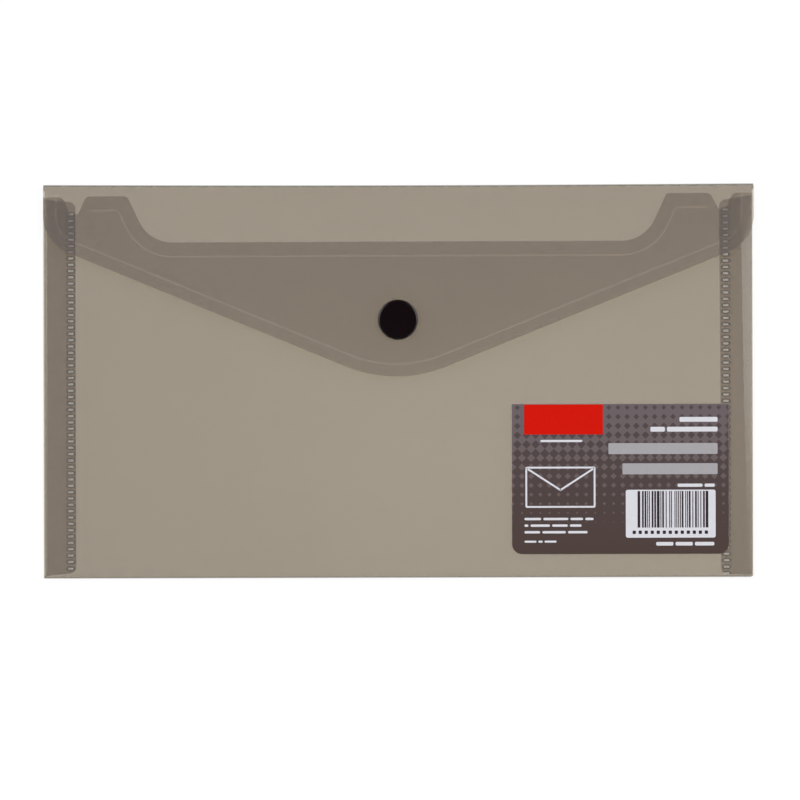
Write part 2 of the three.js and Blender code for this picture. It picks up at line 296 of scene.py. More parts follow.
def makeFilm(name, shares, grazing):
    material, tree = newMaterial(name)
    tint = [channel * share for channel, share in zip(filmFinish["tint"], shares)]
    drift = noiseTexture(tree, filmFinish["driftScale"], 2, filmFinish["driftStretch"])
    darker = [channel * (1 - filmFinish["drift"]) for channel in tint]
    lighter = [min(channel * (1 + filmFinish["drift"]), 1) for channel in tint]
    # painted light and shade: the tint is palest near one spot and darker away from it
    reach = filmFinish["paintedLightReach"]
    shift = [-centre / size for centre, size in zip(filmFinish["paintedLightCentre"], reach)]
    apart = addNode(tree, "Mapping", {
        "Vector": objectPlace(tree),
        "Location": (*shift, 0),
        "Scale": (1 / (reach[0] * mm), 1 / (reach[1] * mm), 0),
    }).outputs[0]
    away = addNode(tree, "VectorMath", {0: apart}, "LENGTH").outputs["Value"]
    paintedFalloff = mapRange(tree, away, (0, filmFinish["paintedLightEnd"]), (1, 1 - filmFinish["paintedEdgeShade"]), True)
    colour = mixedColour(tree, drift, darker, lighter)
    shaded = addNode(tree, "VectorMath", {0: colour, "Scale": paintedFalloff}, "SCALE").outputs["Vector"]
    clear = addNode(tree, "BsdfTransparent", {"Color": shaded}).outputs[0]
    haze = addNode(tree, "BsdfPrincipled", {
        "Base Color": filmFinish["hazeColour"],
        "Roughness": filmFinish["hazeRoughness"],
        "Specular IOR Level": 0,
    }).outputs[0]
    gloss = addNode(tree, "BsdfGlossy", {
        "Color": (1, 1, 1),
        "Roughness": filmFinish["roughness"],
        "Normal": grain(tree, *filmFinish["grain"]),
    }).outputs[0]
    cloudy = mixedShader(tree, filmFinish["haze"], clear, haze)
    # more is mirrored the flatter the view
    angle = addNode(tree, "LayerWeight", {"Blend": 0.5}).outputs["Facing"]
    steep = mathNode(tree, "POWER", angle, 5)
    mirrored = mapRange(tree, steep, (0, 1), (filmFinish["headOn"], grazing))
    finishMaterial(tree, mixedShader(tree, mirrored, cloudy, gloss))
    return material


filmSlots = [makeFilm(name, filmFinish[tint], filmFinish[mirror]) for name, tint, mirror in (
    ("smoke film", "plain", "grazing"),
    ("smoke film with painted fold shade", "crease", "creaseGrazing"),
    ("smoke film at a score line with painted highlight", "score", "grazing"),
    ("smoke film at a faint score line with painted highlight", "faintScoreAndHighlight", "grazing"),
    ("smoke film at a weld with painted glint", "weldMarkAndGlint", "grazing"),
    ("smoke film round a weld", "weldRim", "grazing"),
)]
plainPart, paintedFoldShadePart, scoreAndHighlightPart, faintScoreAndHighlightPart, weldAndGlintPart, weldRimPart = range(len(filmSlots))
print("film finishes ready")


# Outlines

# How finely shapes are cut up, in millimetres and degrees
detail = {
    "arcStep": 7,
    "fineArcStep": 5,
    "filmSharp": 40,  # edges that turn more than this look sharp
    "snapSharp": 28,
    "margin": 0.35,  # further points keep this far from lines
    "frontMargin": 0.12,
    "probe": 0.002,  # step for the slope of a film
    "sheetStep": 12,
    "flapStep": (4, 2.2),
    "flapEnd": 58,  # points go down to here below the crease
    "frontStep": 9,
    "rowStep": 8,
    "columnStep": 5,
    "creaseRows": 13,
    "sideFoldRows": 9,
    "bottomFoldRows": 11,
}


def unit(vector):
    return vector / np.linalg.norm(vector)


# A closed line through corners (x, y, radius), each rounded by an arc
def roundedOutline(corners, arcStep=detail["arcStep"]):
    points = []
    for i, (x, y, radius) in enumerate(corners):
        corner = np.array((x, y), float)
        before = unit(np.array(corners[i - 1][:2]) - corner)
        after = unit(np.array(corners[(i + 1) % len(corners)][:2]) - corner)
        if radius == 0:
            points.append(corner)
            continue
        halfAngle = math.acos(float(np.clip(before @ after, -1, 1))) / 2
        reach = radius / math.tan(halfAngle)
        centre = corner + unit(before + after) * radius / math.sin(halfAngle)
        spoke = corner + before * reach - centre
        last = corner + after * reach - centre
        turn = math.atan2(spoke[0] * last[1] - spoke[1] * last[0], float(spoke @ last))
        steps = max(2, round(abs(math.degrees(turn)) / arcStep))
        for k in range(steps + 1):
            c, s = math.cos(turn * k / steps), math.sin(turn * k / steps)
            points.append(centre + np.array((c * spoke[0] - s * spoke[1], s * spoke[0] + c * spoke[1])))
    return np.array(points)


# The corners with each edge moved in by its own inset. Corners run counter-clockwise.
def insetCorners(corners, insets):
    moved = []
    count = len(corners)
    edges = []
    for i in range(count):
        a, b = np.array(corners[i][:2]), np.array(corners[(i + 1) % count][:2])
        along = unit(b - a)
        edges.append((a + np.array((-along[1], along[0])) * insets[i], along))
    for i, (_, _, radius) in enumerate(corners):
        (a, alongA), (b, alongB) = edges[i - 1], edges[i]
        turn = alongA[0] * alongB[1] - alongA[1] * alongB[0]
        t = ((b[0] - a[0]) * alongB[1] - (b[1] - a[1]) * alongB[0]) / turn
        shift = max(insets[i - 1], insets[i], 0)
        rounded = 0 if radius == 0 else max(radius - math.copysign(shift, turn), 0.2)
        moved.append((a[0] + alongA[0] * t, a[1] + alongA[1] * t, rounded))
    return moved


# An open line with its long stretches cut into shorter ones
def openLine(chain, longest):
    points = []
    for a, b in zip(chain[:-1], chain[1:]):
        count = max(1, math.ceil(np.linalg.norm(b - a) / longest))
        points += [a + (b - a) * k / count for k in range(count)]
    return np.array(points + [chain[-1]])


def closedLine(loop, longest):
    return openLine(np.vstack((loop, loop[:1])), longest)[:-1]


def insideLoop(points, loop):
    x, y = points[:, 0], points[:, 1]
    inside = np.zeros(len(points), bool)
    for (ax, ay), (bx, by) in zip(loop, np.roll(loop, -1, axis=0)):
        crosses = (ay > y) != (by > y)
        with np.errstate(divide="ignore", invalid="ignore"):
            at = (bx - ax) * (y - ay) / (by - ay) + ax
        inside ^= crosses & (x < at)
    return inside


def distanceToChain(points, chain):
    nearest = np.full(len(points), np.inf)
    for a, b in zip(chain[:-1], chain[1:]):
        along = b - a
        t = np.clip((points - a) @ along / max(float(along @ along), 1e-12), 0, 1)
        nearest = np.minimum(nearest, np.linalg.norm(points - a - t[:, None] * along, axis=1))
    return nearest


def distanceToLoop(points, loop):
    return distanceToChain(points, np.vstack((loop, loop[:1])))


def gridDots(xs, ys):
    return np.array([(x, y) for x in xs for y in ys])


def spread(low, high, step):
    return np.linspace(low, high, max(2, round((high - low) / step) + 1))


# Triangles that fill an outline. lines are closed or open chains that edges must follow,
# dots are further points, and holes are loops left empty.
def fillOutline(outline, holes=(), lines=(), dots=(), margin=detail["margin"]):
    points, edges = [], []

    def addChain(chain, closed):
        first = len(points)
        points.extend(Vector(p) for p in chain)
        count = len(chain)
        edges.extend((first + i, first + (i + 1) % count) for i in range(count if closed else count - 1))

    addChain(outline, True)
    for hole in holes:
        addChain(hole, True)
    for chain, closed in lines:
        addChain(chain, closed)
    if len(dots):
        dots = np.array(dots)
        dots = dots[insideLoop(dots, outline)]
        keep = distanceToLoop(dots, outline) > margin
        for hole in holes:
            keep &= ~insideLoop(dots, hole) & (distanceToLoop(dots, hole) > margin)
        for chain, closed in lines:
            distance = distanceToLoop if closed else distanceToChain
            keep &= distance(dots, chain) > margin
        points.extend(Vector(p) for p in dots[keep])
    made = geometry.delaunay_2d_cdt(points, edges, [], 1, 1e-5)
    flat = np.array([(p[0], p[1]) for p in made[0]])
    triangles = np.array([f for f in made[2] if len(f) == 3])
    centres = flat[triangles].mean(axis=1)
    wanted = insideLoop(centres, outline)
    for hole in holes:
        wanted &= ~insideLoop(centres, hole)
    triangles = triangles[wanted]
    used = np.unique(triangles)
    renumber = np.full(len(flat), -1)
    renumber[used] = np.arange(len(used))
    triangles = renumber[triangles]
    flat = flat[used]
    a, b, c = (flat[triangles[:, k]] for k in range(3))
    area = (b[:, 0] - a[:, 0]) * (c[:, 1] - a[:, 1]) - (b[:, 1] - a[:, 1]) * (c[:, 0] - a[:, 0])
    triangles[area < 0] = triangles[area < 0][:, ::-1]
    return flat, triangles


# A closed film from a flat pattern. place turns pattern points into the film's middle surface,
# slotOf gives each triangle's material, and extra how far the two faces stand out or in.
def filmMesh(name, flat, triangles, place, thickness, slotOf, extra=None, slots=filmSlots):
    step = detail["probe"]
    middle = place(flat[:, 0], flat[:, 1])
    alongU = place(flat[:, 0] + step, flat[:, 1]) - place(flat[:, 0] - step, flat[:, 1])
    alongV = place(flat[:, 0], flat[:, 1] + step) - place(flat[:, 0], flat[:, 1] - step)
    normal = np.cross(alongU, alongV)
    normal /= np.linalg.norm(normal, axis=1)[:, None]
    upper = np.full(len(flat), thickness / 2)
    lower = np.full(len(flat), thickness / 2)
    if extra is not None:
        up, down = extra(flat)
        upper += up
        lower += down
    vertices = np.vstack((middle + normal * upper[:, None], middle - normal * lower[:, None])) * mm
    count = len(flat)
    edgeUse = {}
    for a, b, c in triangles:
        for edge in ((a, b), (b, c), (c, a)):
            edgeUse[edge] = edgeUse.get(edge, 0) + 1
    rims = [edge for edge in edgeUse if (edge[1], edge[0]) not in edgeUse]
    faces = [tuple(t) for t in triangles.tolist()]
    faces += [(c + count, b + count, a + count) for a, b, c in triangles.tolist()]
    faces += [(int(b), int(a), int(a) + count, int(b) + count) for a, b in rims]
    mesh = bpy.data.meshes.new(name)
    mesh.from_pydata(vertices.tolist(), [], faces)
    for material in slots:
        mesh.materials.append(material)
    part = slotOf(flat[triangles].mean(axis=1))
    rimParts = np.full(len(rims), plainPart)
    mesh.polygons.foreach_set("material_index", np.concatenate((part, part, rimParts)).astype(np.int32))
    smooth = [True] * (2 * len(triangles)) + [False] * len(rims)
    mesh.polygons.foreach_set("use_smooth", smooth)
    mesh.update()
    mesh.set_sharp_from_angle(angle=math.radians(detail["filmSharp"]))
    # the border of a scored line is crisp
    scored = {}
    for triangle, slot in zip(triangles.tolist() + (triangles + count).tolist(), [*part, *part]):
        for edge in zip(triangle, triangle[1:] + triangle[:1]):
            scored.setdefault(tuple(sorted(edge)), set()).add(slot in (scoreAndHighlightPart, faintScoreAndHighlightPart))
    for edge in mesh.edges:
        if len(scored.get(tuple(sorted(edge.vertices)), ())) == 2:
            edge.use_edge_sharp = True
    return addObject(name, mesh)


def smoothStep(t):
    t = np.clip(t, 0, 1)
    return t * t * (3 - 2 * t)


def circleLoop(x, y, radius, count):
    angles = np.linspace(0, 2 * math.pi, count, endpoint=False)
    return np.stack((x + radius * np.cos(angles), y + radius * np.sin(angles)), axis=1)


# Welds that join the side strips to the back. Paired values are for the left and the right row.
weld = {
    "topInset": (8.77, 8.5),  # middle of the row, from the side fold
    "bottomInset": (8.52, 8.38),
    "length": 1.8,
    "width": 0.7,
    "pitch": (2.01, 2.021),
    "rimLength": 3.1,
    "rimWidth": 1.55,
    "corner": 0.25,
    "dent": 0.09,
    "topDrop": (8.6, 8.0),  # first mark, from the top crease
    "bottomRise": (3.25, 1.25),  # last mark, from the bottom edge
    "stretch": (0.47, 0),  # the marks sag towards the top, by this much at the first one
    "stretchFrom": 2,  # above here
    "stretchPower": 1.5,
}


def weldSpots():
    spots = []
    for index, side in enumerate((-1, 1)):
        first, last = bottomY + weld["bottomRise"][index], topY - weld["topDrop"][index]
        for y in np.arange(first, last, weld["pitch"][index]):
            inset = np.interp(y, (first, last), (weld["bottomInset"][index], weld["topInset"][index]))
            upper = max(0, (y - weld["stretchFrom"]) / (last - weld["stretchFrom"]))
            sag = weld["stretch"][index] * upper ** weld["stretchPower"]
            spots.append((side, side * (pocketEdge - inset), y - sag))
    return spots


def weldCore(x, y):
    across, along, corner = weld["length"] / 2, weld["width"] / 2, weld["corner"]
    ends = ((-across, -along), (across, -along), (across, along), (-across, along))
    return roundedOutline([(x + dx, y + dy, corner) for dx, dy in ends], 45)


def weldRim(x, y):
    angles = np.linspace(0, 2 * math.pi, 20, endpoint=False)
    across, along = weld["rimLength"] / 2, weld["rimWidth"] / 2
    return np.stack((x + across * np.cos(angles), y + along * np.sin(angles)), axis=1)


def insideAny(centres, loops):
    inside = np.zeros(len(centres), bool)
    for loop in loops:
        low, high = loop.min(axis=0), loop.max(axis=0)
        near = np.nonzero(((centres > low) & (centres < high)).all(axis=1))[0]
        inside[near[insideLoop(centres[near], loop)]] = True
    return inside


# Back and flap: one film from the bottom edge over the top crease to the flap's point

flapCut = {
    "sideDrops": (18.27, 18.48),  # from the crease to where the slanted edges would meet the sides
    "pointDrop": 64.27,
    "pointX": -0.66,
    "cornerRadius": 13,
    "tipRadius": 42,
    "scoreInset": 3.86,  # middle of the scored line, from the cut edge
    "scoreWidth": 0.6,
    "scoreDepth": 0.05,
    "scoreEnd": 3.4,  # the scored line stops this far below the crease
    "backInset": 0.5,  # left edge of the back, from the side fold
    "leftInset": 0.45,  # the flap is this much narrower on the left
    "sag": 0.33,  # the crease bows in by this much at the middle
    "sagReach": 18,  # and the film below it does down to here
    "rampGap": 0.1,  # the flap's rise ends this far above the button
    "neckDrop": 0.4,  # where the flap gets wider than the back, below the start of the crease
    "neckStep": 0.6,
    "holeRadius": 0.9,
    "paintedShadeAtCrease": 0.95,  # film this near to the line of the crease gets painted shade
    "paintedShadeAtEdge": 0.3,  # and so does this much of the flap beside its cut ends
    "paintedShadeAtEdgeEnds": (14.5, 2.2),  # down to here below the crease, on the left and the right
}


def makeBackAndFlap():
    middle = creaseRadius - film / 2
    creaseLength = math.pi * middle
    flapStart = creaseY + creaseLength
    zLow = backLow[2] + film / 2
    zCrease = creaseHigh[2] - film / 2
    zButton = flapHigh[2] - film / 2
    rampLength = creaseY - capHigh[1] - flapCut["rampGap"]

    def place(u, v):
        angle = np.clip((v - creaseY) / middle, 0, math.pi) - math.pi / 2
        fall = np.maximum(v - flapStart, 0)
        y = np.where(v <= creaseY, v, creaseY + middle * np.cos(angle) - fall)
        rise = (zButton - zCrease) * smoothStep(fall / rampLength)
        z = np.where(v <= creaseY, zLow, creaseRadius + middle * np.sin(angle) + rise)
        bow = flapCut["sag"] * np.cos(u / flapEdge * math.pi / 2)
        bow *= smoothStep((y - creaseY) / flapCut["sagReach"] + 1)
        return np.stack((u, y - bow, z), axis=1)

    def unfolded(drop):
        return flapStart + (creaseY - (topY - drop))

    left, right = -(pocketEdge - flapCut["backInset"]), backHigh[0]
    bottom = bottomFoldY + 0.004  # a hair above the film that comes round the bottom
    neck = creaseY - flapCut["neckDrop"]
    flapLeft = flapCut["leftInset"] - flapEdge
    corners = [
        (left, bottom, 0),
        (right, bottom, 0),
        (right, neck - flapCut["neckStep"], 0),
        (flapEdge, neck, 0),
        (flapEdge, unfolded(flapCut["sideDrops"][1]), flapCut["cornerRadius"]),
        (flapCut["pointX"], unfolded(flapCut["pointDrop"]), flapCut["tipRadius"]),
        (flapLeft, unfolded(flapCut["sideDrops"][0]), flapCut["cornerRadius"]),
        (flapLeft, neck, 0),
        (left, neck - flapCut["neckStep"], 0),
    ]
    outline = closedLine(roundedOutline(corners, detail["fineArcStep"]), 6)
    flapCorners = corners[3:8]
    halfScore = flapCut["scoreWidth"] / 2

    def scoreChain(shift):
        inset = flapCut["scoreInset"] + shift
        chain = roundedOutline(insetCorners(flapCorners, [inset] * 4 + [-1]), detail["fineArcStep"])
        top = unfolded(flapCut["scoreEnd"])
        chain = chain[chain[:, 1] > top]
        return openLine(np.vstack(((chain[0, 0], top), chain, (chain[-1, 0], top))), 3)

    def besideShadedEdge(points, side, slack):
        drop = points[:, 1] - unfolded(flapCut["paintedShadeAtEdgeEnds"][side > 0])
        return (points[:, 0] * side > flapEdge * 0.8) & (points[:, 1] > creaseY) & (drop < slack)

    score = [scoreChain(shift) for shift in (-halfScore, 0, halfScore)]
    cores = [weldCore(x, y) for _, x, y in weldSpots()]
    lines = [(chain, False) for chain in score] + [(loop, True) for loop in cores]
    shadedEdgeCorners = insetCorners(flapCorners, [flapCut["paintedShadeAtEdge"]] * 4 + [-0.6])
    shadedEdgeLine = openLine(roundedOutline(shadedEdgeCorners, detail["fineArcStep"]), 1)
    for side in (-1, 1):
        lines.append((shadedEdgeLine[besideShadedEdge(shadedEdgeLine, side, 0.01)], False))
    for v in np.linspace(creaseY, flapStart, detail["creaseRows"]):
        lines.append((gridDots(np.linspace(flapLeft + 0.05, flapEdge - 0.05, 40), (v,)), False))
    sheetStep, (stepX, stepY) = detail["sheetStep"], detail["flapStep"]
    lowest = unfolded(detail["flapEnd"])
    dots = np.vstack((
        gridDots(spread(left + 2, right - 2, sheetStep), spread(bottom + 2, neck - 3, sheetStep)),
        gridDots(spread(-flapEdge + 1, flapEdge - 1, stepX), spread(flapStart + 1, lowest, stepY)),
    ))
    hole = circleLoop(snapX, flapStart + creaseY - snapY, flapCut["holeRadius"], 20)
    flat, triangles = fillOutline(outline, [hole], lines, dots)

    def slotOf(centres):
        part = np.full(len(centres), plainPart)
        # scored line: thinner film and a painted highlight
        part[distanceToChain(centres, score[1]) < halfScore] = faintScoreAndHighlightPart
        # weld cores: fused film and a painted glint
        part[insideAny(centres, cores)] = weldAndGlintPart
        # painted shade along the top crease and beside the flap's cut ends
        part[abs(centres[:, 1] - (creaseY + flapStart) / 2) < flapCut["paintedShadeAtCrease"]] = paintedFoldShadePart
        paintedEdgeBand = distanceToLoop(centres, outline) < flapCut["paintedShadeAtEdge"]
        part[paintedEdgeBand & (besideShadedEdge(centres, -1, 0) | besideShadedEdge(centres, 1, 0))] = paintedFoldShadePart
        return part

    def extra(points):
        onLine = distanceToChain(points, score[1]) < 0.01
        return np.zeros(len(points)), np.where(onLine, -flapCut["scoreDepth"], 0)

    piece = filmMesh("film_back_and_flap", flat, triangles, place, film, slotOf, extra)
    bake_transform(piece)
    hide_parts("back_panel", "top_crease", "flap")
    print("back and flap:", len(triangles), "triangles a side")


makeBackAndFlap()


# Front: one film with the bottom fold, both side folds and the welded side strips.
# Paired values are for the left and the right side.

frontCut = {
    "shoulderDrop": 3.35,  # from the top crease
    "skew": 0.0035,  # the front was folded over a hair askew
    "earDrop": (0.2, 0.0),  # from the shoulders down to the top edge of the ears
    "thumbDrop": (18.05, 18.35),
    "notchDrop": (9.0, 8.65),
    "earInset": 6.35,  # from the side fold
    "earFootInset": 8.7,
    "notchInset": (11.2, 10.65),
    "outerInset": (13.68, 13.5),
    "innerInset": (26.7, 27.2),
    "thumbInset": (33.6, 34.2),
    "radii": (2.5, 1.1, 2.2, 1.4, 11.5),  # ear, notch, outer shoulder, inner shoulder, thumb cut
    "scoreInset": 4.5,
    "scoreWidth": 0.5,
    "scoreDepth": 0.05,
    "edgeHeight": 0.85,  # middle of the film where the side fold starts, at the top
    "edgeHeightLow": (1.0, 1.5),  # and at the bottom
    "stripHeight": 0.36,
    "leftSlope": 1.0,  # how far from the fold the film starts to bend down
    "rightSlopeTop": 4.9,
    "rightSlopeBottom": 1.8,
    "slopePower": 1.5,
    "edgeHeightReach": 0.6,  # the upper height holds above this share of the front
    "foldStart": 0.2,  # the side folds start this far inside the middle of their film
    "sideBlend": 3,  # over this length the front takes up the side folds' shape
    "bottomBlend": 5,  # and over this one the bottom fold's
    "paintedShadeAtFold": 0.83,  # film this near to the line of the bottom fold gets painted shade
    # lines of points for an even bend, in from the side fold and up from the bottom fold
    "columns": (0.35, 0.7, 1.05, 1.4, 1.9, 2.5, 3.1, 3.8, 4.6, 5.6),
    "rows": (0.6, 1.3, 2.1, 4.6, 6.2, 8),
}

strip = {
    "topInset": (10.2, 10.55),  # inner edge, from the side fold
    "bottomInset": (10.25, 10.15),
    "topDrop": (1.3, 0.3),
    "topSlope": (0.9, 1.7),
    "bottomSlope": (1.15, 0.3),
    "bottomStart": (0.12, -0.15),  # above the start of the bottom fold
    "topRadius": 2.2,
    "bottomRadius": (2.0, 2.1),
    "foldLength": 0.76,  # of film in the side fold
    "cornerLength": 1.0,  # the side fold runs on this far past the start of the bottom fold
}


def makeFront():
    middleX = pocketEdge - film / 2
    panelEdge = middleX - frontCut["foldStart"]
    zBack = backLow[2] + film / 2
    stripMid = frontCut["stripHeight"]
    foldLength = strip["foldLength"]

    def edgeHeight(u, y):
        t = smoothStep((y - bottomY) / (topY - bottomY) / frontCut["edgeHeightReach"])
        low = np.where(u > 0, frontCut["edgeHeightLow"][1], frontCut["edgeHeightLow"][0])
        return low + (frontCut["edgeHeight"] - low) * t

    def slopeWidth(u, y):
        t = np.clip((y - bottomY) / (topY - bottomY), 0, 1)
        right = frontCut["rightSlopeBottom"] + (frontCut["rightSlopeTop"] - frontCut["rightSlopeBottom"]) * t
        return np.where(u > 0, right, frontCut["leftSlope"])

    def foldShape(u, v):
        edgeMid, width = edgeHeight(u, v), slopeWidth(u, v)
        drop = frontMid - edgeMid
        lean = np.arctan(frontCut["slopePower"] * drop / width)  # slope of the film where the fold starts
        return edgeMid, width, drop, lean, (edgeMid - stripMid) / (1 + np.cos(lean))

    def place(u, v):
        side = np.sign(u)
        edgeMid, width, drop, lean, radius = foldShape(u, v)
        inward = np.clip((panelEdge - abs(u)) / width, 0, 1)
        frontZ = edgeMid + drop * (1 - (1 - inward) ** frontCut["slopePower"])
        centreX = middleX - radius
        edgeX = centreX + radius * np.sin(lean)
        past = abs(u) - panelEdge
        past = np.where(abs(past) < 1e-6, 0, past)
        turn = lean + (math.pi - lean) * np.clip(past / foldLength, 0, 1)
        x = np.where(past <= 0, abs(u) * 1.0, centreX + radius * np.sin(turn))
        shiftX = (edgeX - panelEdge) * smoothStep(1 - np.clip(-past / frontCut["sideBlend"], 0, 1))
        x = np.where(past <= 0, x + shiftX, x - np.maximum(past - foldLength, 0))
        z = np.where(past <= 0, frontZ, edgeMid - radius * np.cos(lean) + radius * np.cos(turn))
        # below the front the film turns under and meets the back
        bend = (frontZ - zBack) / 2
        below = bottomFoldY - v
        turnDown = np.clip(below / (math.pi * bottomRadius), 0, 1) * math.pi
        centreY = bottomY + film / 2 + bend
        centreY += (bottomFoldY - centreY) * smoothStep(turnDown * 2 / math.pi - 1)
        near = smoothStep(1 - np.clip(-below / frontCut["bottomBlend"], 0, 1))
        pull = (bottomFoldY - bottomY - film / 2 - bend) * near
        y = np.where(below <= 0, v - pull, centreY - bend * np.sin(turnDown))
        z = np.where((below > 0) & (past <= 0), zBack + bend + bend * np.cos(turnDown), z)
        return np.stack((side * x, y, z), axis=1)

    # where the pattern of a folded strip has the spot that ends up at x, y
    def stripSpot(side, x, y):
        radius = foldShape(np.array(float(side)), np.array(y))[-1]
        return side * (innerEdge + middleX - float(radius) - abs(x))

    wingEnd = bottomFoldY - math.pi * bottomRadius
    cornerFoot = bottomFoldY - strip["cornerLength"]
    innerEdge = panelEdge + foldLength
    shoulderY = topY - frontCut["shoulderDrop"]
    earRadius, notchRadius, outerRadius, innerRadius, thumbRadius = frontCut["radii"]

    # corners of one side, with x counted outwards. side is 0 on the left and 1 on the right.
    def upperCorners(side):
        earY, notchY = shoulderY - frontCut["earDrop"][side], topY - frontCut["notchDrop"][side]
        return [
            (panelEdge, earY, 0),
            (pocketEdge - frontCut["earInset"], earY, earRadius),
            (pocketEdge - frontCut["earFootInset"], notchY, notchRadius),
            (pocketEdge - frontCut["notchInset"][side], notchY, notchRadius),
            (pocketEdge - frontCut["outerInset"][side], shoulderY, outerRadius),
            (pocketEdge - frontCut["innerInset"][side], shoulderY, innerRadius),
            (pocketEdge - frontCut["thumbInset"][side], topY - frontCut["thumbDrop"][side], thumbRadius),
        ]

    def stripCorners(side):
        top = shoulderY - strip["topDrop"][side]
        foot = bottomFoldY + strip["bottomStart"][side]
        low, high = foot + strip["bottomSlope"][side], top - strip["topSlope"][side]
        sign = (-1, 1)[side]
        lowReach = abs(stripSpot(sign, pocketEdge - strip["bottomInset"][side], low))
        highReach = abs(stripSpot(sign, pocketEdge - strip["topInset"][side], high))
        return [
            (panelEdge, wingEnd, 0),
            (panelEdge, bottomFoldY - 0.05, 0),
            (panelEdge + 0.01, bottomFoldY, 0),
            (panelEdge + 0.02, cornerFoot, 0),
            (innerEdge, foot, 0),
            (lowReach, low, strip["bottomRadius"][side]),
            (highReach, high, strip["topRadius"]),
            (innerEdge, top, 0),
        ]

    corners = stripCorners(1) + upperCorners(1)
    corners += [(-x, y, radius) for x, y, radius in reversed(stripCorners(0) + upperCorners(0))]
    skew = frontCut["skew"]
    corners = [(x, y + skew * x if y > 0 and abs(x) <= panelEdge else y, radius) for x, y, radius in corners]
    outline = closedLine(roundedOutline(corners), 8)

    # the scored line runs along the shoulders, the slopes beside them and the long cut
    halfScore = frontCut["scoreWidth"] / 2
    lowCorner = [(panelEdge, bottomFoldY, 0)]
    panelCorners = lowCorner + upperCorners(1)
    panelCorners += [(-x, y, radius) for x, y, radius in reversed(lowCorner + upperCorners(0))]
    panelCorners = [(x, y + skew * x, radius) for x, y, radius in panelCorners]
    count = len(panelCorners)
    scored = [5 <= i <= count - 7 for i in range(count)]
    scoreReach = pocketEdge - max(frontCut["outerInset"])

    def scoreChain(shift):
        insets = [frontCut["scoreInset"] + shift if on else -1 for on in scored]
        chain = roundedOutline(insetCorners(panelCorners, insets))
        return chain[(abs(chain[:, 0]) < scoreReach - 0.4) & (chain[:, 1] > bottomY + 20)]

    score = [scoreChain(shift) for shift in (-halfScore, 0, halfScore)]
    for i, chain in enumerate(score):
        ends = (scoreReach - 0.6, chain[0, 1]), (0.6 - scoreReach, chain[-1, 1])
        score[i] = openLine(np.vstack((ends[0], chain, ends[1])), 5)
    lines = [(chain, False) for chain in score]

    # weld marks, each a sunk bar in an oval rim
    marks = [(stripSpot(side, x, y), y) for side, x, y in weldSpots()]
    cores = [weldCore(u, y) for u, y in marks]
    rims = [weldRim(u, y) for u, y in marks]
    lines += [(loop, True) for loop in cores + rims]

    for index, side in enumerate((-1, 1)):
        earTop = shoulderY - frontCut["earDrop"][index] + skew * side * panelEdge
        stripTop = shoulderY - strip["topDrop"][index]
        stripFoot = bottomFoldY + strip["bottomStart"][index]
        for share in np.linspace(0, 1, detail["sideFoldRows"]):
            low = bottomFoldY if share == 0 else cornerFoot + (stripFoot - cornerFoot) * share + 0.02
            high = earTop + (stripTop - earTop) * share
            u = side * (panelEdge + foldLength * share)
            lines.append((gridDots((u,), spread(low + 0.02, high - 0.02, detail["columnStep"])), False))
        for inset in frontCut["columns"]:
            u = side * (panelEdge - inset)
            lines.append((gridDots((u,), spread(bottomFoldY + 2, earTop - 0.5, detail["columnStep"])), False))
    for below in np.linspace(0, math.pi * bottomRadius, detail["bottomFoldRows"])[1:-1]:
        row = spread(-panelEdge + 0.05, panelEdge - 0.05, detail["rowStep"])
        lines.append((gridDots(row, (bottomFoldY - below,)), False))
    for above in frontCut["rows"]:
        row = spread(-panelEdge + 6, panelEdge - 6, detail["rowStep"])
        lines.append((gridDots(row, (bottomFoldY + above,)), False))
    across = spread(-panelEdge + 7, panelEdge - 7, detail["frontStep"])
    dots = gridDots(across, spread(bottomFoldY + 14, shoulderY, detail["frontStep"]))
    hole = circleLoop(snapX, snapY, flapCut["holeRadius"], 20)
    flat, triangles = fillOutline(outline, [hole], lines, dots, detail["frontMargin"])

    def slotOf(centres):
        part = np.full(len(centres), plainPart)
        # scored line: thinner film and a painted highlight
        part[distanceToChain(centres, score[1]) < halfScore] = scoreAndHighlightPart
        part[insideAny(centres, rims)] = weldRimPart
        # weld cores: fused film and a painted glint
        part[insideAny(centres, cores)] = weldAndGlintPart
        # painted shade along the bottom fold
        paintedFoldBand = abs(centres[:, 1] - (bottomFoldY + wingEnd) / 2) < frontCut["paintedShadeAtFold"]
        part[paintedFoldBand & (abs(centres[:, 0]) < panelEdge)] = paintedFoldShadePart
        return part

    def extra(points):
        up = np.where(distanceToChain(points, score[1]) < 0.01, -frontCut["scoreDepth"], 0.0)
        # the sunk side of a mark is the upper one, which is the pattern's lower face on a folded strip
        down = np.zeros(len(points))
        for loop in cores:
            near = np.nonzero(abs(points - loop.mean(axis=0)).max(axis=1) < weld["length"])[0]
            down[near[distanceToLoop(points[near], loop) < 0.02]] = -weld["dent"]
        return up, down

    piece = filmMesh("film_front_and_strips", flat, triangles, place, film, slotOf, extra)
    low, high = stripMid + film / 2, frontCut["edgeHeight"] - film / 2
    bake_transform(piece)
    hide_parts("front_panel", "bottom_fold", "left_side_fold", "right_side_fold",
                "left_side_strip", "right_side_strip")
    print("front and strips:", len(triangles), "triangles a side,", len(cores), "weld marks")


makeFront()


# Press snap

snapFinish = {
    "colour": (0.0036, 0.0008, 0.0016),
    "palest": 1.5,  # times that colour
    "toneScale": 260,
    "roughScale": 900,
    "roughness": (0.112, 0.182),
    "grain": (2500, 3, 0.1, 0.01),  # scale, detail, strength, height
}

